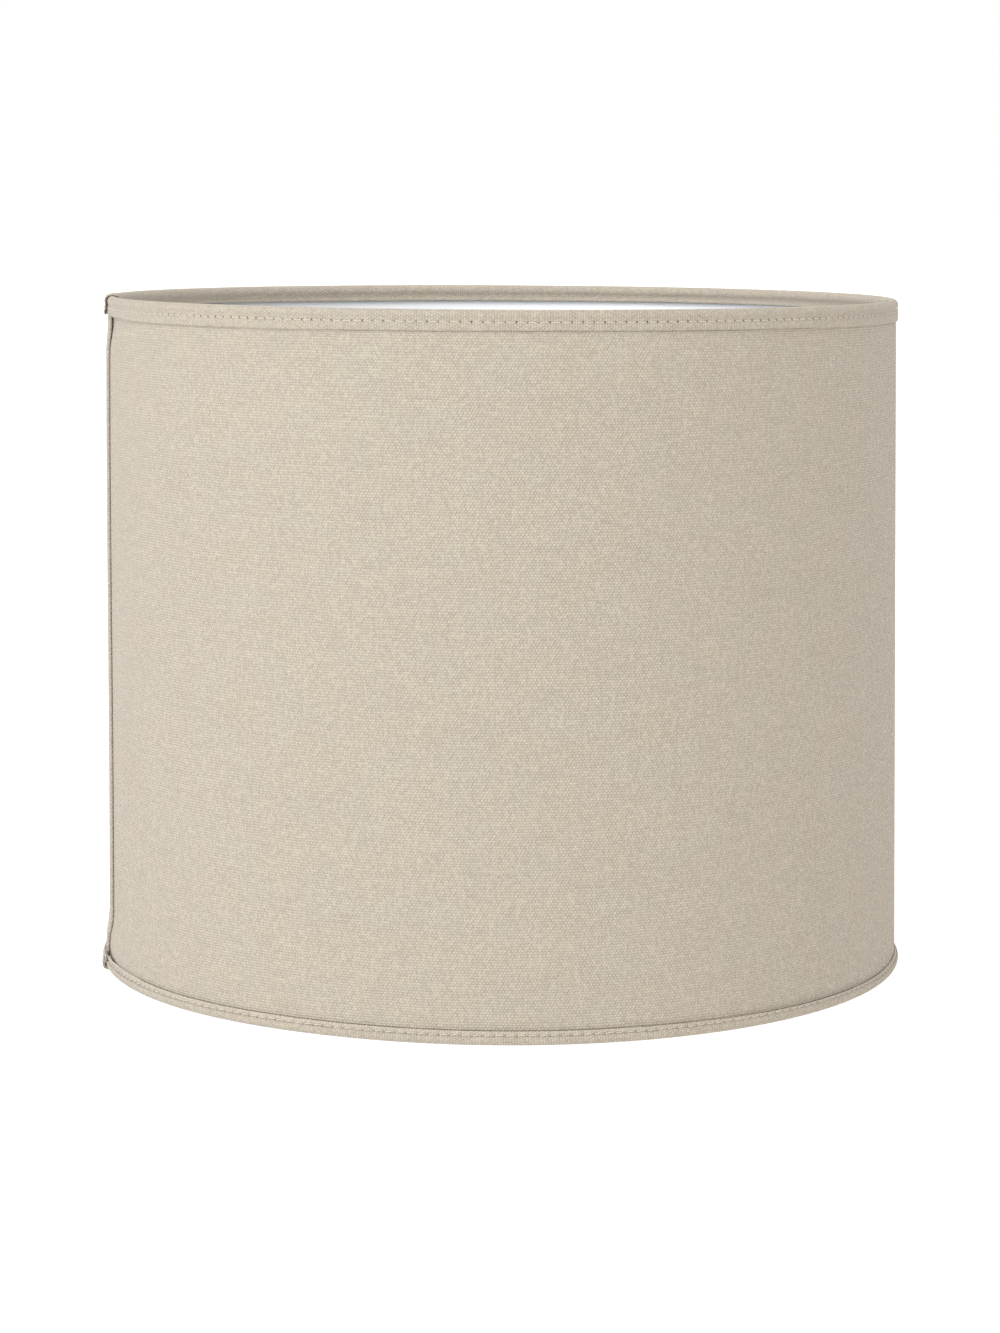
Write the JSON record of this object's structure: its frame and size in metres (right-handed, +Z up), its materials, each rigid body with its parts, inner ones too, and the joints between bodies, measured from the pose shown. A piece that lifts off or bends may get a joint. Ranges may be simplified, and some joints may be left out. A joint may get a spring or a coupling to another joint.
{
  "type": "drum lamp shade",
  "caption": "Straight drum lamp shade: fabric on a white liner, rims bound with sewn tape over wire, and a tilting fitter ring with a lift-out reducer.",
  "frame": {"origin": "on the shade's axis, level with the bottom rim that it stands on", "axes": "+Z up the axis from the bottom rim to the top rim, -Y the front, +X the viewer's right; the lapped seam is on the left, 10 degrees in front of -X"},
  "size_m": [0.3, 0.3, 0.25],
  "materials": {
    "canvas": "plain-weave natural cotton canvas, matt, with slubs and small dark flecks",
    "binding_tape": "woven cotton tape, matt, sewn",
    "thread": "cotton sewing thread",
    "liner": "white self-adhesive plastic sheet, satin",
    "adhesive": "double-sided tape",
    "white_wire": "white powder-coated steel wire",
    "zinc_plate": "zinc-plated pressed steel",
    "spring_steel": "bright spring steel",
    "white_plastic": "white moulded plastic, satin"
  },
  "bodies": {
    "shade": {"fabric_cover": "canvas", "shade_liner": "liner", "seam_tape": "adhesive", "top_ring": "white_wire", "bottom_ring": "white_wire", "top_binding": "binding_tape", "bottom_binding": "binding_tape", "top_needle_thread": "thread", "bottom_needle_thread": "thread", "top_bobbin_thread_back": "thread", "top_bobbin_thread_front": "thread", "bottom_bobbin_thread": "thread", "right_arm": "white_wire", "right_spring_washer": "spring_steel", "right_retaining_clip": "spring_steel", "left_arm": "white_wire", "left_spring_washer": "spring_steel", "left_retaining_clip": "spring_steel"},
    "fitter": {"fitter_ring": "zinc_plate"},
    "reducer": {"reducer_ring": "white_plastic"}
  },
  "joints": [
    {"name": "fitter_tilt", "type": "hinge", "parent": "shade", "child": "fitter", "pos_m": [0, 0, 0.222], "axis": [1, 0, 0], "continuous": true},
    {"name": "reducer_lift", "type": "slide", "parent": "fitter", "child": "reducer", "axis": [0, 0, 1], "range_m": [0, 0.045]}
  ]
}
